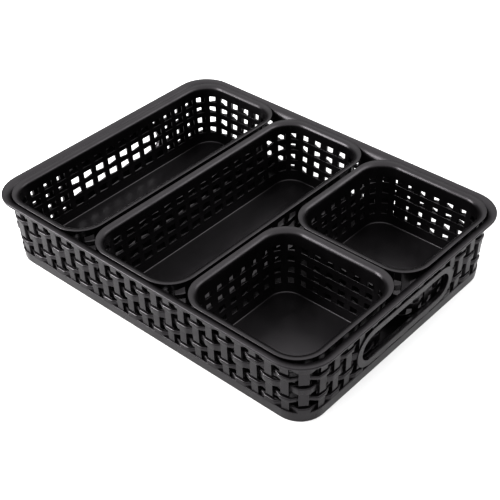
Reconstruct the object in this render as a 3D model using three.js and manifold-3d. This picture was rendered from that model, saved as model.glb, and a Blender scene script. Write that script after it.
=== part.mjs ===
// A set of moulded plastic storage baskets: a shallow rectangular tray with a handle slot in
// each short end, and four loose baskets that stand in it, rim beside rim. Millimetres, +Z up.
// The origin is on the surface that the tray stands on, under the middle of the tray. X runs
// along the tray's long side.
import * as THREE from 'three';
import { mergeVertices } from 'three/addons/utils/BufferGeometryUtils.js';
import Module from 'manifold-3d';

const wasm = await Module();
wasm.setup();

// Driving dimensions of the tray.
const TRAY_LENGTH = 352;
const TRAY_WIDTH = 268.8;
const TRAY_HEIGHT = 65.4;
const TRAY_CORNER_RADIUS = 30;

// The four baskets in the tray. They stand loose, with their rims level with the tray's.
const BIN_CORNER_RADIUS = 26;
const END_SURROUND = 8.5; // from the tray's outer edge to the baskets' rims, at its short ends
const SIDE_SURROUND = 6.2; // the same along its long sides
const COLUMN_GAP = 3.4; // between the rims of baskets that stand side by side along X
const SMALL_BIN_GAP = 1; // between the rims of the two small baskets
const SMALL_BIN_SLIDE = 0.9; // the small baskets stand slid this far along X, one each way
const LONG_BIN_LENGTH = 101; // along X
const REST_GAP = 0.3; // keeps a basket's underside apart from the tray's floor

// The rim and wall, seen in section. The rim's top is flat for a short way and then rolls over
// into the inside of the wall. Its underside slopes from the outer edge down to the wall.
const TRAY_WALL = {
  overhang: 6, // how far the rim stands out past the wall just under it
  thickness: 3.8, // across the weave, from its crests outside to its crests inside
  edge: 2.6, // height of the rim's outer edge
  root: 5.5, // depth at which the rim's underside meets the wall
  flat: 1, // width of the rim's flat top
  roll: 9.5, // depth at which the rim's rolled inside meets the wall
};
const BIN_WALL = {
  overhang: 4,
  thickness: 2.4,
  edge: 1.3,
  root: 4.6,
  flat: 1.5,
  roll: 4.2,
};
const RIM_CHAMFER = 0.6;
const ROLL_SEGMENTS = 5;

// What the tray and all four baskets share.
const WALL_SLOPE = 0.066; // how much the walls lean, sideways per unit of height
const BAND_HEIGHT = 9.5; // plain band round the base
const BAND_STEP = 0.5; // the woven wall lies this far behind the band
const FLOOR_THICKNESS = 2.2;
const FOOT_CHAMFER = 0.8;
const RADIUS_PER_INSET = 0.7; // how much a corner tightens as its outline moves inward
const CORNER_SEGMENTS = 8;

// The handle slot through each short end of the tray, and the flat collar around it.
const HANDLE_LENGTH = 115;
const HANDLE_HEIGHT = 24.6;
const HANDLE_CENTRE_HEIGHT = 30.7;
const COLLAR_WIDTH = 6.8;
const COLLAR_STEP = 0.6; // how far the collar stands out past the base band's face
const COLLAR_BEVEL = 0.5;
const HANDLE_SEGMENTS = 12;

const plastic = {
  tray: () => blackPlastic(0x3b393b),
  bin: () => blackPlastic(0x363537),
};

function blackPlastic(color) {
  return new THREE.MeshStandardMaterial({ color, roughness: 0.45, metalness: 0 });
}

// The outline of a rectangle with round corners, anticlockwise, moved inward by an inset.
function outline(size, inset, height) {
  const radius = size.cornerRadius - RADIUS_PER_INSET * inset;
  const middleX = size.length / 2 - inset - radius;
  const middleY = size.width / 2 - inset - radius;
  const signs = [[1, 1], [-1, 1], [-1, -1], [1, -1]];
  const points = [];
  signs.forEach(([signX, signY], corner) => {
    for (let step = 0; step <= CORNER_SEGMENTS; step += 1) {
      const angle = (corner + step / CORNER_SEGMENTS) * Math.PI / 2;
      points.push(new THREE.Vector3(
        signX * middleX + radius * Math.cos(angle),
        signY * middleY + radius * Math.sin(angle),
        height,
      ));
    }
  });
  return points;
}

// A closed body through a stack of outlines that all have the same number of points. The first
// outline is capped as its underside and the last as its inner floor.
function loft(outlines) {
  const count = outlines[0].length;
  const indices = [];
  for (let level = 0; level < outlines.length - 1; level += 1) {
    for (let i = 0; i < count; i += 1) {
      const next = (i + 1) % count;
      const low = level * count;
      const high = low + count;
      indices.push(low + i, low + next, high + next);
      indices.push(low + i, high + next, high + i);
    }
  }
  const last = (outlines.length - 1) * count;
  for (let i = 1; i < count - 1; i += 1) {
    indices.push(0, i + 1, i);
    indices.push(last, last + i, last + i + 1);
  }
  const geometry = new THREE.BufferGeometry().setFromPoints(outlines.flat());
  geometry.setIndex(indices);
  return geometry;
}

// How far the wall's outer crests lie inside the rim's outer edge at a height.
function wallInset(size, height) {
  const { overhang, edge } = size.wall;
  return overhang + WALL_SLOPE * (size.height - edge - height);
}

// The rim's rolled inside as [inset, height] points: a quarter of an ellipse that starts at the
// end of the rim's flat top and ends on the inside of the wall.
function rimRoll(size) {
  const { flat, roll, thickness } = size.wall;
  const reach = wallInset(size, size.height - roll) + thickness - flat;
  const points = [];
  for (let step = 0; step <= ROLL_SEGMENTS; step += 1) {
    const angle = (step / ROLL_SEGMENTS) * Math.PI / 2;
    points.push([
      flat + reach * Math.sin(angle),
      size.height - roll * (1 - Math.cos(angle)),
    ]);
  }
  return points;
}

// The section of a basket as [inset, height] points: up the outside from the underside, over
// the rim and down the inside to the floor.
function section(size) {
  const { thickness, edge, root } = size.wall;
  const outer = (height) => wallInset(size, height);
  const woven = (height) => outer(height) + BAND_STEP;
  const inner = (height) => outer(height) + thickness;
  const fillet = size.floorFillet;
  return [
    [outer(0) + FOOT_CHAMFER, 0],
    [outer(FOOT_CHAMFER), FOOT_CHAMFER],
    [outer(BAND_HEIGHT), BAND_HEIGHT],
    [woven(BAND_HEIGHT), BAND_HEIGHT + BAND_STEP],
    [woven(size.height - root), size.height - root],
    [0, size.height - edge],
    [0, size.height - RIM_CHAMFER],
    [RIM_CHAMFER, size.height],
    ...rimRoll(size),
    [inner(FLOOR_THICKNESS + fillet), FLOOR_THICKNESS + fillet],
    [inner(FLOOR_THICKNESS) + fillet, FLOOR_THICKNESS],
  ];
}

function basketGeometry(size) {
  return loft(section(size).map(([inset, height]) => outline(size, inset, height)));
}

function toSolid(geometry) {
  const bare = geometry.clone();
  bare.deleteAttribute('normal');
  bare.deleteAttribute('uv');
  const merged = mergeVertices(bare);
  return new wasm.Manifold(new wasm.Mesh({
    numProp: 3,
    vertProperties: new Float32Array(merged.attributes.position.array),
    triVerts: new Uint32Array(merged.index.array),
  }));
}

function toGeometry(solid) {
  const mesh = solid.getMesh();
  const geometry = new THREE.BufferGeometry();
  geometry.setAttribute('position', new THREE.BufferAttribute(mesh.vertProperties, 3));
  geometry.setIndex(new THREE.BufferAttribute(mesh.triVerts, 1));
  geometry.computeVertexNormals();
  return geometry;
}

// A flat shape with two straight sides and round ends.
function stadium(length, height) {
  const radius = height / 2;
  const middle = length / 2 - radius;
  const shape = new THREE.Shape();
  shape.absarc(middle, 0, radius, -Math.PI / 2, Math.PI / 2, false);
  shape.absarc(-middle, 0, radius, Math.PI / 2, Math.PI * 1.5, false);
  return shape;
}

// Turns a shape drawn in X and Y to stand in the tray's right-hand end wall, leaning with it.
// Afterwards the shape's X runs along the wall and its depth points outward. Depth 0 is at the
// wall's outer crests.
function standInEndWall(geometry) {
  const faceX = TRAY_LENGTH / 2 - wallInset(trayDimensions, HANDLE_CENTRE_HEIGHT);
  geometry.rotateX(Math.PI / 2);
  geometry.rotateZ(Math.PI / 2);
  geometry.rotateY(Math.atan(WALL_SLOPE));
  geometry.translate(faceX, 0, HANDLE_CENTRE_HEIGHT);
  return geometry;
}

function handleCollar() {
  const shape = stadium(
    HANDLE_LENGTH + 2 * (COLLAR_WIDTH - COLLAR_BEVEL),
    HANDLE_HEIGHT + 2 * (COLLAR_WIDTH - COLLAR_BEVEL),
  );
  const geometry = new THREE.ExtrudeGeometry(shape, {
    depth: TRAY_WALL.thickness + COLLAR_STEP - 3 * COLLAR_BEVEL,
    bevelThickness: COLLAR_BEVEL,
    bevelSize: COLLAR_BEVEL,
    bevelSegments: 1,
    curveSegments: HANDLE_SEGMENTS,
  });
  geometry.translate(0, 0, 2 * COLLAR_BEVEL - TRAY_WALL.thickness);
  return standInEndWall(geometry);
}

function handleOpening() {
  const reach = 4 * TRAY_WALL.thickness;
  const geometry = new THREE.ExtrudeGeometry(stadium(HANDLE_LENGTH, HANDLE_HEIGHT), {
    depth: reach,
    bevelEnabled: false,
    curveSegments: HANDLE_SEGMENTS,
  });
  geometry.translate(0, 0, -reach / 2);
  return standInEndWall(geometry);
}

function trayGeometry() {
  const collar = toSolid(handleCollar());
  const opening = toSolid(handleOpening());
  const halfTurn = [0, 0, 180];
  const solid = toSolid(basketGeometry(trayDimensions))
    .add(collar)
    .add(collar.rotate(halfTurn))
    .subtract(opening)
    .subtract(opening.rotate(halfTurn));
  return toGeometry(solid);
}

const trayDimensions = {
  length: TRAY_LENGTH,
  width: TRAY_WIDTH,
  height: TRAY_HEIGHT,
  cornerRadius: TRAY_CORNER_RADIUS,
  wall: TRAY_WALL,
  floorFillet: 0.8,
};

function binDimensions(length, width) {
  return {
    length,
    width,
    height: TRAY_HEIGHT - FLOOR_THICKNESS - REST_GAP,
    cornerRadius: BIN_CORNER_RADIUS,
    wall: BIN_WALL,
    floorFillet: 3,
  };
}

// The baskets fill the rectangle inside the tray's rim: two long ones side by side across the
// tray, then two small ones one behind the other.
const fieldLength = TRAY_LENGTH - 2 * END_SURROUND;
const fieldWidth = TRAY_WIDTH - 2 * SIDE_SURROUND;
const longBin = binDimensions(LONG_BIN_LENGTH, fieldWidth);
const smallBin = binDimensions(
  fieldLength - 2 * (LONG_BIN_LENGTH + COLUMN_GAP),
  (fieldWidth - SMALL_BIN_GAP) / 2,
);
const leftX = (longBin.length - fieldLength) / 2;
const middleX = leftX + longBin.length + COLUMN_GAP;
const rightX = (fieldLength - smallBin.length) / 2;
const smallBinY = (smallBin.width + SMALL_BIN_GAP) / 2;

const bins = [
  { name: 'long_bin_left', size: longBin, x: leftX, y: 0 },
  { name: 'long_bin_middle', size: longBin, x: middleX, y: 0 },
  { name: 'small_bin_back', size: smallBin, x: rightX + SMALL_BIN_SLIDE, y: smallBinY },
  { name: 'small_bin_front', size: smallBin, x: rightX - SMALL_BIN_SLIDE, y: -smallBinY },
];

const group = new THREE.Group();

const tray = new THREE.Mesh(trayGeometry(), plastic.tray());
tray.name = 'tray';
group.add(tray);

for (const bin of bins) {
  const mesh = new THREE.Mesh(basketGeometry(bin.size), plastic.bin());
  mesh.name = bin.name;
  mesh.position.set(bin.x, bin.y, FLOOR_THICKNESS + REST_GAP);
  group.add(mesh);
}

export default group;
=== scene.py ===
"""Looks of a set of moulded plastic storage baskets: a woven tray and four woven baskets in it.

Metres, in the frame of the CAD part: the tray stands on z = 0 round the origin, and X runs
along its long side.
"""

import math
from dataclasses import dataclass, replace

import bmesh
import bpy
import numpy as np
from mathutils import Matrix, Vector


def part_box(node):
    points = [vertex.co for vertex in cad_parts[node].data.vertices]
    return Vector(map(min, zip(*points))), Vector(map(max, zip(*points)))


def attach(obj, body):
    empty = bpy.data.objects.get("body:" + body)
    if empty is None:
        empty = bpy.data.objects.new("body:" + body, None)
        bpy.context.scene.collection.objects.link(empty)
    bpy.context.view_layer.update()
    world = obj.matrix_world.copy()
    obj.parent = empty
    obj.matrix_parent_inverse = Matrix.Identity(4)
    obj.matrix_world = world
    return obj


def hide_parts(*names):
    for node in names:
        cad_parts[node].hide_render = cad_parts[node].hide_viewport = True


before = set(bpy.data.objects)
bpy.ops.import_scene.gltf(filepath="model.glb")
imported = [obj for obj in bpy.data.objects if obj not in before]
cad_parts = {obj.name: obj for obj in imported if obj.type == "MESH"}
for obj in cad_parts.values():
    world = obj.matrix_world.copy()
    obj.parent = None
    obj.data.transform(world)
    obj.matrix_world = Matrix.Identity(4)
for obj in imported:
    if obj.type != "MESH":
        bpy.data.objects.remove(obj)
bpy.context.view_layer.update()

MM = 0.001

# The section that the tray and the baskets share.
WALL_SLOPE = 0.066  # how far the wall leans in, for each unit of height
BAND_HEIGHT = 9.5 * MM  # of the plain base band below the weave
BAND_EDGE = 0.5 * MM
FLOOR_THICKNESS = 2.2 * MM
FOOT_CHAMFER = 0.5 * MM
RADIUS_PER_INSET = 0.7  # how much a corner's radius loses, for each unit of inset
LINER_THICKNESS = 1 * MM  # of the plain inside band between the rim and the weave
WEAVE_STEP = 0.5 * MM  # from the wall's outer crests in to the foot of the rim's underside

# The weave. Its upright stakes and level strands pass in front of and behind each other.
# Their depth runs from 0 in front to 1 behind.
ROWS = 5
STRAND_COVER = 0.1 * MM  # how far the strands stay under the wall's inside surface
STAKE_COVER = 0.2 * MM  # how far the stakes do
THINNEST_RIBBON = 0.5 * MM  # where the weave runs up behind the rim
RIBBON_OVERLAP = 0.6 * MM  # how far the ribbons run up into the rim
STAKE_FOOT = 2.5 * MM  # how far the stakes run down into the base band
CREST = 0.28  # half the width of a strand's flat crest, as a share of the stakes' spacing
DIP = 0.65  # the share at which it has reached its full depth
STAKE_SET_BACK = 0.36  # a stake's depth just below a strand that it passes behind
STAKE_FLARE = 0.12  # its depth just above one
ABOVE_STRAND = 0.9 * MM  # from such a strand's upper edge up to where the stake turns forward
TUCK = 0.2 * MM  # from its lower edge up to where the stake turns backward
DIVE = 3 * MM  # height over which the stake changes its depth

# The handle slots through the tray's short ends.
HANDLE_LENGTH = 115 * MM
HANDLE_HEIGHT = 24.6 * MM
HANDLE_CENTRE_HEIGHT = 30.7 * MM
COLLAR_WIDTH = 6.8 * MM  # of the flat plate round a slot
COLLAR_STEP = 0.6 * MM  # how far the plate stands out from the wall's crests
COLLAR_BEVEL = 0.5 * MM

# The fineness of the meshes.
ARC_STEPS = 10  # round a corner
ROLL_STEPS = 10  # over the rim's rolled inside
DIVE_STEPS = 5  # where a stake changes its depth
HANDLE_STEPS = 16  # round each end of a handle slot
# Along a strand from one stake to the next, as shares of their spacing.
COLUMN_STEPS = (0, CREST / 2, CREST, 1 - DIP, 0.5, DIP, 1 - CREST, 1 - CREST / 2)
# An edge rounded in two steps has its middle point this share of the radius from both faces.
ROUND_MIDDLE = 0.3
SHARP_ANGLE = 50  # in degrees; faces that meet at more than this keep a sharp edge


@dataclass(frozen=True)
class Wall:
    """The rim, the wall and its weave, seen in section. Depths are below the rim's top."""

    overhang: float  # how far the rim stands out past the wall just under it
    thickness: float
    edge: float  # height of the rim's outer edge
    root: float  # depth at which the rim's sloping underside meets the wall
    flat: float  # width of the rim's flat top
    roll: float  # depth at which the rim's rolled inside meets the wall
    liner: float  # depth of the lower edge of the plain band inside
    top_row: float  # depth of the middle of the top strand
    row_pitch: float
    strand_heights: tuple  # of the first, third and fifth strand, and of the other two
    stake_width: float
    ribbon: float  # thickness of the strands and stakes
    relief: float  # how far a ribbon in front stands out past the one behind it
    rounding: float  # of their edges
    shoulder: float  # rounding of the strands' upper outer edges
    rim_edge: float  # rounding of the rim's outer edges
    corner_density: float  # how much closer together the columns are round a corner


TRAY_WALL = Wall(
    overhang=6 * MM,
    thickness=3.8 * MM,
    edge=2.6 * MM,
    root=5.5 * MM,
    flat=1 * MM,
    roll=9.5 * MM,
    liner=11.9 * MM,
    top_row=9.6 * MM,
    row_pitch=11.3 * MM,
    strand_heights=(6.5 * MM, 3.8 * MM),
    stake_width=7 * MM,
    ribbon=2.6 * MM,
    relief=2.4 * MM,
    rounding=0.4 * MM,
    shoulder=1.2 * MM,
    rim_edge=0.9 * MM,
    corner_density=1,
)
LONG_BIN_WALL = Wall(
    overhang=4 * MM,
    thickness=2.4 * MM,
    edge=1.3 * MM,
    root=4.6 * MM,
    flat=1.5 * MM,
    roll=4.2 * MM,
    liner=10.7 * MM,
    top_row=8.2 * MM,
    row_pitch=11.1 * MM,
    strand_heights=(4.8 * MM, 4.8 * MM),
    stake_width=5.5 * MM,
    ribbon=1.4 * MM,
    relief=1 * MM,
    rounding=0.3 * MM,
    shoulder=0.3 * MM,
    rim_edge=0.5 * MM,
    corner_density=1.13,
)
SMALL_BIN_WALL = replace(
    LONG_BIN_WALL,
    liner=13.2 * MM,
    top_row=10.7 * MM,
    row_pitch=10.75 * MM,
    strand_heights=(5.6 * MM, 5.6 * MM),
    stake_width=6.9 * MM,
)


@dataclass
class Basket:
    """One basket. Its sides are numbered 0 front, 1 right, 2 back and 3 left.

    A side's columns are counted from the middle of one corner to the middle of the next.
    """

    node: str
    wall: Wall
    corner_radius: float
    floor_fillet: float
    front_columns: int  # along the front and along the back
    end_columns: int  # along the right and along the left side
    column_shift: float  # how far the columns are shifted along each side, as a share of one
    slot: str

    def __post_init__(self):
        low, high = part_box(self.node)
        self.middle = (low + high) / 2
        self.half = (high - low) / 2
        self.bottom = low.z
        self.top = high.z

    def columns(self, side):
        return self.end_columns if side % 2 else self.front_columns

    def half_along(self, side):
        return self.half.y if side % 2 else self.half.x

    def half_across(self, side):
        return self.half.x if side % 2 else self.half.y

    def radius(self, inset):
        return self.corner_radius - RADIUS_PER_INSET * inset

    def wall_inset(self, height):
        """How far the wall's outer crests lie inside the rim's outer edge at a height."""
        return self.wall.overhang + WALL_SLOPE * (self.top - self.wall.edge - height)

    def weave_inset(self, height):
        """The same for the middle of the weave."""
        return self.wall_inset(height) + self.wall.thickness / 2

    def inner_inset(self, height):
        """The same for the inside surface of the rim's roll and of the wall below it."""
        wall = self.wall
        roll_end = self.wall_inset(self.top - wall.roll) + wall.thickness
        share = np.clip(1 - (self.top - height) / wall.roll, 0, 1)
        rolled = wall.flat + (roll_end - wall.flat) * np.sqrt(1 - share ** 2)
        return np.where(share > 0, rolled, self.wall_inset(height) + wall.thickness)

    def corner_length(self):
        """Length of half a corner in the middle of the wall, times the columns' density there."""
        inset = self.weave_inset((self.top + self.bottom) / 2)
        return self.wall.corner_density * math.pi / 4 * self.radius(inset)

    def side_length(self, side):
        """The same for a side, with half of the corner at each end."""
        inset = self.weave_inset((self.top + self.bottom) / 2)
        straight = self.half_along(side) - inset - self.radius(inset)
        return 2 * straight + 2 * self.corner_length()

    def corner_share(self, side):
        """The share of a side's length that each half corner takes."""
        return self.corner_length() / self.side_length(side)


def place(basket, turns, insets):
    """Points of the basket's outline, moved inward by insets.

    A turn runs from 0 to 4, one side for each unit: front, right, back, left. Whole turns are
    the middles of the corners.
    """
    turns, insets = np.broadcast_arrays(turns, insets)
    sides = np.floor(turns).astype(int) % 4
    share = turns - np.floor(turns)
    along = np.array([basket.half_along(side) for side in range(4)])[sides]
    across = np.array([basket.half_across(side) for side in range(4)])[sides]
    corner = np.array([basket.corner_share(side) for side in range(4)])[sides]
    radius = basket.radius(insets)
    straight = along - insets - radius
    entering = np.clip(1 - share / corner, 0, 1)
    leaving = np.clip((share - 1) / corner + 1, 0, 1)
    angle = (leaving - entering) * math.pi / 4
    travel = np.clip(2 * (share - corner) / (1 - 2 * corner) - 1, -1, 1)
    forward = straight * travel + radius * np.sin(angle)
    outward = across - insets - radius + radius * np.cos(angle)
    forward_x = np.array([1, 0, -1, 0])[sides]
    forward_y = np.array([0, 1, 0, -1])[sides]
    x = forward * forward_x + outward * forward_y
    y = forward * forward_y - outward * forward_x
    return np.stack([x + basket.middle.x, y + basket.middle.y], axis=-1)


def outline_turns(basket):
    """Turns that follow the outline, with steps round each corner."""
    turns = []
    for side in range(4):
        corner = basket.corner_share(side)
        turns.extend(side + np.linspace(0, corner, ARC_STEPS // 2 + 1))
        turns.extend(side + 1 - np.linspace(corner, 0, ARC_STEPS // 2 + 1)[:-1])
    return np.array(turns)


def column_turns(basket):
    """Turns in steps of the weave's columns, and the column that each one belongs to."""
    turns = []
    columns = []
    first = 0
    for side in range(4):
        count = basket.columns(side)
        steps = np.add.outer(np.arange(count), np.array(COLUMN_STEPS)).ravel()
        steps = (steps + basket.column_shift) % count
        steps.sort()
        turns.append(side + steps / count)
        columns.append(first + steps - basket.column_shift)
        first += count
    return np.concatenate(turns), np.concatenate(columns)


def moved_along(basket, turn, distances):
    """The turns that lie at distances along the wall from a turn."""
    lengths = np.array([basket.side_length(side) for side in range(4)])
    nudge = 1e-6 * np.sign(distances)  # at a corner, to the side that the point lies on
    sides = np.floor(turn + nudge).astype(int) % 4
    return turn + distances / lengths[sides]


def rounded_rectangle(width, height, rounding):
    """Points round a rectangle with round corners, as two arrays.

    The rounding is one radius or four, from the upper right corner round to the left.
    """
    radii = np.repeat(np.broadcast_to(rounding, 4), 3)
    quarters = np.arange(4) * math.pi / 2
    angles = np.add.outer(quarters, np.radians([0, 45, 90])).ravel()
    side_x = np.repeat([1, -1, -1, 1], 3) * (width / 2 - radii)
    side_y = np.repeat([1, 1, -1, -1], 3) * (height / 2 - radii)
    return side_x + radii * np.cos(angles), side_y + radii * np.sin(angles)


def add_tube(solid, rings, joined):
    """Adds a tube through rings of points to a (points, faces) solid.

    A joined tube runs round to its first ring. Others are closed with a cap at each end.
    """
    points, faces = solid
    start = len(points)
    count, around = rings.shape[:2]
    points.extend(rings.reshape(-1, 3))
    for ring in range(count if joined else count - 1):
        low = start + ring * around
        high = start + (ring + 1) % count * around
        for i in range(around):
            following = (i + 1) % around
            faces.append((low + i, low + following, high + following, high + i))
    if not joined:
        last = start + (count - 1) * around
        faces.append(tuple(range(start + around - 1, start - 1, -1)))
        faces.append(tuple(range(last, last + around)))


def solid_object(name, solid):
    """A mesh object made of closed solids, with its faces turned outward."""
    points, faces = solid
    mesh = bpy.data.meshes.new(name)
    mesh.from_pydata([tuple(point) for point in points], [], faces)
    bm = bmesh.new()
    bm.from_mesh(mesh)
    bmesh.ops.recalc_face_normals(bm, faces=bm.faces)
    bm.to_mesh(mesh)
    bm.free()
    thing = bpy.data.objects.new(name, mesh)
    bpy.context.scene.collection.objects.link(thing)
    return thing


def combine(base, operation, other):
    """Changes base by a boolean with other, which goes."""
    modifier = base.modifiers.new(operation, "BOOLEAN")
    modifier.operation = operation
    modifier.solver = "MANIFOLD"
    modifier.object = other
    apply_modifiers(base)
    bpy.data.objects.remove(other)


def apply_modifiers(thing):
    """Turns a thing's modifiers into plain mesh."""
    depsgraph = bpy.context.evaluated_depsgraph_get()
    mesh = bpy.data.meshes.new_from_object(thing.evaluated_get(depsgraph))
    thing.modifiers.clear()
    thing.data = mesh


def arc(centre, radius, start, end, steps):
    """Points along an arc, as [inset, height] pairs. Angles are in degrees."""
    angles = np.radians(np.linspace(start, end, steps + 1))
    return [
        [centre[0] + radius * math.cos(angle), centre[1] + radius * math.sin(angle)]
        for angle in angles
    ]


def section_rings(basket, section):
    """Rings of points round the basket, one for each [inset, height] pair of a section."""
    turns = outline_turns(basket)
    rings = []
    for inset, height in section:
        flat = place(basket, turns, inset)
        rings.append(np.column_stack([flat, np.full(len(flat), height)]))
    return np.array(rings)


def rim_section(basket):
    """The rim's closed section, from its root over the top to the inside band and back."""
    wall = basket.wall
    top = basket.top
    edge = top - wall.edge
    root = top - wall.root
    liner = top - wall.liner
    rounding = wall.rim_edge
    roll_angles = np.radians(np.linspace(0, 90, ROLL_STEPS + 1))[1:]
    roll_heights = top - wall.roll * (1 - np.cos(roll_angles))
    roll = [[float(basket.inner_inset(height)), height] for height in roll_heights]
    liner_inset = float(basket.inner_inset(liner))
    return [
        [basket.weave_inset(root), root],
        [basket.wall_inset(root) + WEAVE_STEP, root],
        *arc((rounding, edge + rounding), rounding, start=240, end=180, steps=3),
        *arc((rounding, top - rounding), rounding, start=180, end=90, steps=4),
        [wall.flat, top],
        *roll,
        [liner_inset, liner],
        [liner_inset - LINER_THICKNESS, liner],
    ]


def tub_section(basket):
    """The base band and the floor, from the underside over the band to the inner floor."""
    bottom = basket.bottom
    band_top = bottom + BAND_HEIGHT
    floor = bottom + FLOOR_THICKNESS
    outer = basket.wall_inset
    fillet = basket.floor_fillet
    middle = ROUND_MIDDLE * FOOT_CHAMFER
    inner_top = float(basket.inner_inset(band_top))
    inner_foot = float(basket.inner_inset(floor))
    band_edge_centre = (outer(band_top) + BAND_EDGE, band_top - BAND_EDGE)
    return [
        [outer(bottom) + FOOT_CHAMFER, bottom],
        [outer(bottom) + middle, bottom + middle],
        [outer(bottom), bottom + FOOT_CHAMFER],
        *arc(band_edge_centre, BAND_EDGE, start=180, end=90, steps=3),
        [inner_top, band_top],
        *arc((inner_foot + fillet, floor + fillet), fillet, start=180, end=270, steps=5),
    ]


def rim_and_tub(basket):
    """The plain parts of a basket: a ring above the weave and a tray-like tub below it."""
    solid = ([], [])
    add_tube(solid, section_rings(basket, rim_section(basket)), joined=True)
    add_tube(solid, section_rings(basket, tub_section(basket)), joined=False)
    return solid_object(basket.node + "_shell", solid)


def strand_edges(basket, row):
    """Heights of a strand's lower and upper edge. The top one runs up into the rim."""
    wall = basket.wall
    middle = basket.top - wall.top_row - row * wall.row_pitch
    half = wall.strand_heights[row % 2] / 2
    if row == 0:
        return middle - half, basket.top - wall.root + RIBBON_OVERLAP
    return middle - half, middle + half


def woven_insets(basket, depth, across, heights, cover):
    """Insets of a ribbon's points: woven outside, and just under the wall's surface inside.

    Depth is 0 where the ribbon passes in front and 1 where it passes behind.
    """
    wall = basket.wall
    inside = basket.inner_inset(heights) - cover
    outside = basket.wall_inset(heights) + wall.relief * depth + wall.ribbon / 2 + across
    outside = np.minimum(outside, inside - THINNEST_RIBBON)
    return np.where(across > 0, inside - wall.ribbon / 2 + across, outside)


def strands(basket):
    """Level ribbons round the basket."""
    wall = basket.wall
    solid = ([], [])
    turns, columns = column_turns(basket)
    roundings = (wall.rounding, wall.shoulder, wall.rounding, wall.rounding)
    for row in range(ROWS):
        low, high = strand_edges(basket, row)
        across, upward = rounded_rectangle(wall.ribbon, high - low, roundings)
        past_crest = 1 - np.abs((columns + row) % 2 - 1)
        depth = np.clip((past_crest - CREST) / (DIP - CREST), 0, 1)
        heights = np.broadcast_to((low + high) / 2 + upward, (len(turns), len(upward)))
        insets = woven_insets(basket, depth[:, None], across, heights, STRAND_COVER)
        flat = place(basket, turns[:, None], insets)
        add_tube(solid, np.concatenate([flat, heights[..., None]], axis=-1), joined=True)
    return solid_object(basket.node + "_strands", solid)


def stake_turns(basket):
    """The turn at which each stake stands."""
    turns = []
    for side in range(4):
        count = basket.columns(side)
        turns.extend(side + (column + basket.column_shift) / count for column in range(count))
    return turns


def stake_path(basket, number):
    """Heights up a stake, and how deep it lies at each: 1 where it passes behind a strand."""
    lowest = basket.bottom + BAND_HEIGHT - STAKE_FOOT
    highest = basket.top - basket.wall.root + RIBBON_OVERLAP
    rise = np.linspace(0, 1, DIVE_STEPS + 1)
    share = rise * rise * (3 - 2 * rise)
    turning_heights = []
    turning_depths = []
    for row in reversed(range(number % 2, ROWS, 2)):
        lower, upper = strand_edges(basket, row)
        turning_heights.extend(lower + TUCK + DIVE * rise)
        turning_depths.extend(STAKE_SET_BACK + (1 - STAKE_SET_BACK) * share)
        turning_heights.extend(upper + ABOVE_STRAND + DIVE * rise)
        turning_depths.extend(1 - (1 - STAKE_FLARE) * share)
    heights = np.unique(np.clip([lowest, *turning_heights, highest], lowest, highest))
    return heights, np.interp(heights, turning_heights, turning_depths)


def stakes(basket):
    """Upright ribbons from inside the base band to the underside of the rim."""
    wall = basket.wall
    solid = ([], [])
    along, across = rounded_rectangle(wall.stake_width, wall.ribbon, wall.rounding)
    for number, turn in enumerate(stake_turns(basket)):
        path, depth = stake_path(basket, number)
        heights = np.broadcast_to(path[:, None], (len(path), len(along)))
        insets = woven_insets(basket, depth[:, None], across, heights, STAKE_COVER)
        flat = place(basket, moved_along(basket, turn, along)[None, :], insets)
        add_tube(solid, np.concatenate([flat, heights[..., None]], axis=-1), joined=False)
    return solid_object(basket.node + "_stakes", solid)


def stadium(length, height):
    """Points round a flat shape with two straight sides and round ends."""
    radius = height / 2
    middle = length / 2 - radius
    right = np.linspace(-math.pi / 2, math.pi / 2, HANDLE_STEPS + 1)
    left = right + math.pi
    x = np.concatenate([middle + radius * np.cos(right), -middle + radius * np.cos(left)])
    y = np.concatenate([radius * np.sin(right), radius * np.sin(left)])
    return x, y


def plate_in_end_wall(name, basket, layers, end):
    """A stack of stadiums standing in an end wall.

    Layers are (length, height, depth) with depth measured outward from the wall's crests.
    End is 1 for the right-hand wall and -1 for the left-hand one.
    """
    rings = []
    for length, height, depth in layers:
        along, upward = stadium(length, height)
        heights = HANDLE_CENTRE_HEIGHT + upward
        x = basket.half.x - basket.wall_inset(heights) + depth
        rings.append(np.column_stack([end * x, end * along, heights]))
    solid = ([], [])
    add_tube(solid, np.array(rings), joined=False)
    return solid_object(name, solid)


def handle_collar(basket, end):
    """The flat plate round a handle slot. It stands out a little from the wall's crests."""
    thickness = basket.wall.thickness
    length = HANDLE_LENGTH + 2 * COLLAR_WIDTH
    height = HANDLE_HEIGHT + 2 * COLLAR_WIDTH
    bevel = COLLAR_BEVEL
    middle = ROUND_MIDDLE * bevel
    layers = [
        (length - 2 * bevel, height - 2 * bevel, -thickness),
        (length, height, bevel - thickness),
        (length, height, COLLAR_STEP - bevel),
        (length - 2 * middle, height - 2 * middle, COLLAR_STEP - middle),
        (length - 2 * bevel, height - 2 * bevel, COLLAR_STEP),
    ]
    return plate_in_end_wall("collar", basket, layers, end)


def handle_opening(basket, end):
    """The solid that is cut out for a handle slot. It widens on both sides of the wall."""
    thickness = basket.wall.thickness
    bevel = COLLAR_BEVEL
    clearance = 3 * MM
    wide = 2 * bevel + 2 * clearance
    layers = [
        (HANDLE_LENGTH + wide, HANDLE_HEIGHT + wide, -thickness - clearance),
        (HANDLE_LENGTH + 2 * bevel, HANDLE_HEIGHT + 2 * bevel, -thickness),
        (HANDLE_LENGTH, HANDLE_HEIGHT, bevel - thickness),
        (HANDLE_LENGTH, HANDLE_HEIGHT, COLLAR_STEP - bevel),
        (HANDLE_LENGTH + 2 * bevel, HANDLE_HEIGHT + 2 * bevel, COLLAR_STEP),
        (HANDLE_LENGTH + wide, HANDLE_HEIGHT + wide, COLLAR_STEP + clearance),
    ]
    return plate_in_end_wall("opening", basket, layers, end)


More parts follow.
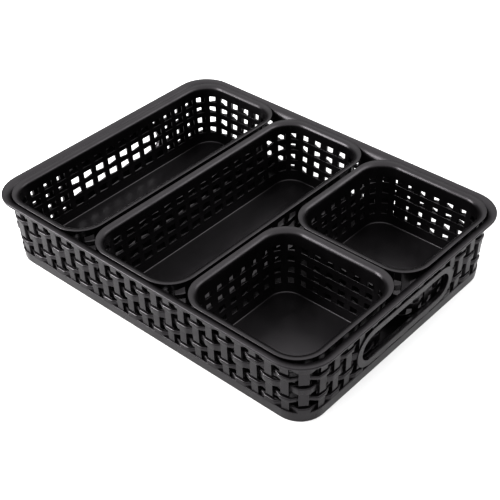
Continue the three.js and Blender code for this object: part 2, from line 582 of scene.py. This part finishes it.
def smooth(thing):
    """Smooth shading, except across sharp edges."""
    for polygon in thing.data.polygons:
        polygon.use_smooth = True
    thing.data.set_sharp_from_angle(angle=math.radians(SHARP_ANGLE))
    modifier = thing.modifiers.new("weighted", "WEIGHTED_NORMAL")
    modifier.keep_sharp = True
    apply_modifiers(thing)


def build_basket(basket):
    """A basket as one closed mesh."""
    shell = rim_and_tub(basket)
    combine(shell, "UNION", strands(basket))
    combine(shell, "UNION", stakes(basket))
    return shell


def finish_basket(thing, basket, material):
    """Shades and names a basket's mesh, and puts it in place of its CAD node."""
    smooth(thing)
    thing.name = basket.node + "_woven"
    thing.data.name = thing.name
    thing.data.materials.clear()
    thing.data.materials.append(material)
    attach(thing, basket.node)
    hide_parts(basket.node)


def satin_plastic(name, color, roughness):
    """Moulded plastic with a fine grain, faint flow marks and edges polished by wear.

    The scales of its noise are in cells for each metre.
    """
    material = bpy.data.materials.new(name)
    material.use_nodes = True
    nodes = material.node_tree.nodes
    links = material.node_tree.links
    shader = nodes["Principled BSDF"]
    shader.inputs["IOR"].default_value = 1.49
    shader.inputs["Specular Tint"].default_value = (1, 0.955, 1, 1)

    place_in_object = nodes.new("ShaderNodeTexCoord").outputs["Object"]

    def noise(scale, detail, stretch=(1, 1, 1)):
        mapping = nodes.new("ShaderNodeMapping")
        mapping.inputs["Scale"].default_value = stretch
        links.new(place_in_object, mapping.inputs["Vector"])
        texture = nodes.new("ShaderNodeTexNoise")
        texture.inputs["Scale"].default_value = scale
        texture.inputs["Detail"].default_value = detail
        links.new(mapping.outputs["Vector"], texture.inputs["Vector"])
        return texture.outputs["Fac"]

    def ramp(value, low, high, start=0.3, end=0.7):
        remap = nodes.new("ShaderNodeMapRange")
        remap.inputs["From Min"].default_value = start
        remap.inputs["From Max"].default_value = end
        remap.inputs["To Min"].default_value = low
        remap.inputs["To Max"].default_value = high
        links.new(value, remap.inputs["Value"])
        return remap.outputs["Result"]

    flow_marks = noise(scale=14, detail=3, stretch=(1, 1, 2.2))
    tint = nodes.new("ShaderNodeMix")
    tint.data_type = "RGBA"
    darker = [0.8 * channel for channel in color]
    lighter = [1.2 * channel for channel in color]
    tint.inputs["A"].default_value = (*darker, 1)
    tint.inputs["B"].default_value = (*lighter, 1)
    links.new(ramp(flow_marks, 0, 1), tint.inputs["Factor"])
    links.new(tint.outputs["Result"], shader.inputs["Base Color"])

    handling = ramp(noise(scale=60, detail=4), roughness - 0.05, roughness + 0.07)
    edges = nodes.new("ShaderNodeNewGeometry").outputs["Pointiness"]
    polish = ramp(edges, 0, 0.05, start=0.51, end=0.58)
    worn = nodes.new("ShaderNodeMath")
    worn.operation = "SUBTRACT"
    links.new(handling, worn.inputs[0])
    links.new(polish, worn.inputs[1])
    links.new(worn.outputs["Value"], shader.inputs["Roughness"])

    grain = nodes.new("ShaderNodeBump")
    grain.inputs["Strength"].default_value = 0.12
    grain.inputs["Distance"].default_value = 0.2 * MM
    links.new(noise(scale=1600, detail=2), grain.inputs["Height"])
    links.new(grain.outputs["Normal"], shader.inputs["Normal"])
    return material


def lit_white(name):
    """The floor's paper: white, and lit from below as on a product table."""
    material = bpy.data.materials.new(name)
    material.use_nodes = True
    shader = material.node_tree.nodes["Principled BSDF"]
    shader.inputs["Base Color"].default_value = (0.66, 0.66, 0.66, 1)
    shader.inputs["Roughness"].default_value = 0.9
    shader.inputs["Specular IOR Level"].default_value = 0.1
    shader.inputs["Emission Color"].default_value = (1, 1, 1, 1)
    shader.inputs["Emission Strength"].default_value = 0.18
    return material


def pale_floor():
    """A wide sheet just under the tray."""
    half = 6
    height = -0.2 * MM
    corners = [(-half, -half), (half, -half), (half, half), (-half, half)]
    mesh = bpy.data.meshes.new("floor")
    mesh.from_pydata([(x, y, height) for x, y in corners], [], [(0, 1, 2, 3)])
    floor = bpy.data.objects.new("floor", mesh)
    floor.data.materials.append(lit_white("pale_floor"))
    bpy.context.scene.collection.objects.link(floor)


def softbox(name, location, target, width, height, radiance):
    """A rectangular area light. The radiance is how bright its face looks."""
    light = bpy.data.lights.new(name, "AREA")
    light.shape = "RECTANGLE"
    light.size = width
    light.size_y = height
    light.energy = radiance * math.pi * width * height
    lamp = bpy.data.objects.new(name, light)
    lamp.location = location
    lamp.rotation_euler = (Vector(target) - Vector(location)).to_track_quat("-Z", "Y").to_euler()
    bpy.context.scene.collection.objects.link(lamp)


def bright_ceiling():
    """A white studio, dim up to 22 degrees over the horizon and bright from 37 degrees up."""
    world = bpy.data.worlds.new("studio")
    bpy.context.scene.world = world
    world.use_nodes = True
    nodes = world.node_tree.nodes
    links = world.node_tree.links
    direction = nodes.new("ShaderNodeTexCoord").outputs["Generated"]
    parts = nodes.new("ShaderNodeSeparateXYZ")
    links.new(direction, parts.inputs["Vector"])
    rise = nodes.new("ShaderNodeMapRange")
    rise.inputs["From Min"].default_value = 0.38
    rise.inputs["From Max"].default_value = 0.6
    rise.inputs["To Min"].default_value = 0.06
    rise.inputs["To Max"].default_value = 1.7
    links.new(parts.outputs["Z"], rise.inputs["Value"])
    background = nodes["Background"]
    background.inputs["Color"].default_value = (1, 1, 1, 1)
    links.new(rise.outputs["Result"], background.inputs["Strength"])


def studio():
    """Soft light with a key at the front left and a weak fill at the back right."""
    bright_ceiling()
    softbox(
        "key",
        location=(-0.52, -0.61, 0.49),
        target=(-0.013, 0.1, 0.06),
        width=0.35,
        height=0.7,
        radiance=12,
    )
    softbox(
        "fill",
        location=(0.55, 0.9, 0.95),
        target=(0, 0, 0.05),
        width=0.9,
        height=0.6,
        radiance=2.5,
    )


def camera():
    """The photograph's viewpoint: a direction and distance from a point in the tray."""
    azimuth = math.radians(40.73)
    elevation = math.radians(38.17)
    roll = math.radians(-0.38)
    distance = 0.96934
    target = Vector((0.0253, 0.009, 0.0196))
    back = Vector((
        math.sin(azimuth) * math.cos(elevation),
        -math.cos(azimuth) * math.cos(elevation),
        math.sin(elevation),
    ))
    right = Vector((0, 0, 1)).cross(back).normalized()
    up = back.cross(right)
    rolled_right = right * math.cos(roll) + up * math.sin(roll)
    rolled_up = up * math.cos(roll) - right * math.sin(roll)
    data = bpy.data.cameras.new("camera")
    data.sensor_width = 36
    data.lens = 81.11
    data.shift_x = -0.0522
    data.shift_y = -0.0021
    viewer = bpy.data.objects.new("camera", data)
    axes = Matrix((rolled_right, rolled_up, back)).transposed()
    viewer.matrix_world = Matrix.Translation(target + back * distance) @ axes.to_4x4()
    bpy.context.scene.collection.objects.link(viewer)
    bpy.context.scene.camera = viewer


def build_tray(material):
    """The outer tray, with its handle slots."""
    tray = Basket(
        node="tray",
        wall=TRAY_WALL,
        corner_radius=30 * MM,
        floor_fillet=0.8 * MM,
        front_columns=22,
        end_columns=16,
        column_shift=0.06,
        slot="tray_plastic",
    )
    woven_tray = build_basket(tray)
    for end in (1, -1):
        combine(woven_tray, "UNION", handle_collar(tray, end))
        combine(woven_tray, "DIFFERENCE", handle_opening(tray, end))
    finish_basket(woven_tray, tray, material)


def build_bins(material):
    """The four baskets that stand in the tray."""
    long_bin = dict(wall=LONG_BIN_WALL, front_columns=6, end_columns=16)
    small_bin = dict(wall=SMALL_BIN_WALL, front_columns=8, end_columns=8)
    for node, weave in (
        ("long_bin_left", long_bin),
        ("long_bin_middle", long_bin),
        ("small_bin_back", small_bin),
        ("small_bin_front", small_bin),
    ):
        basket = Basket(
            node=node,
            corner_radius=26 * MM,
            floor_fillet=1.5 * MM,
            column_shift=0,
            slot="bin_plastic",
            **weave,
        )
        finish_basket(build_basket(basket), basket, material)


def main():
    tray_plastic = satin_plastic("tray_plastic", (0.0062, 0.0055, 0.0061), roughness=0.33)
    bin_plastic = satin_plastic("bin_plastic", (0.0052, 0.0047, 0.0051), roughness=0.33)
    build_tray(tray_plastic)
    build_bins(bin_plastic)
    pale_floor()
    studio()
    camera()
    bpy.context.scene.view_settings.view_transform = "Standard"
    bpy.context.scene.view_settings.look = "High Contrast"


main()
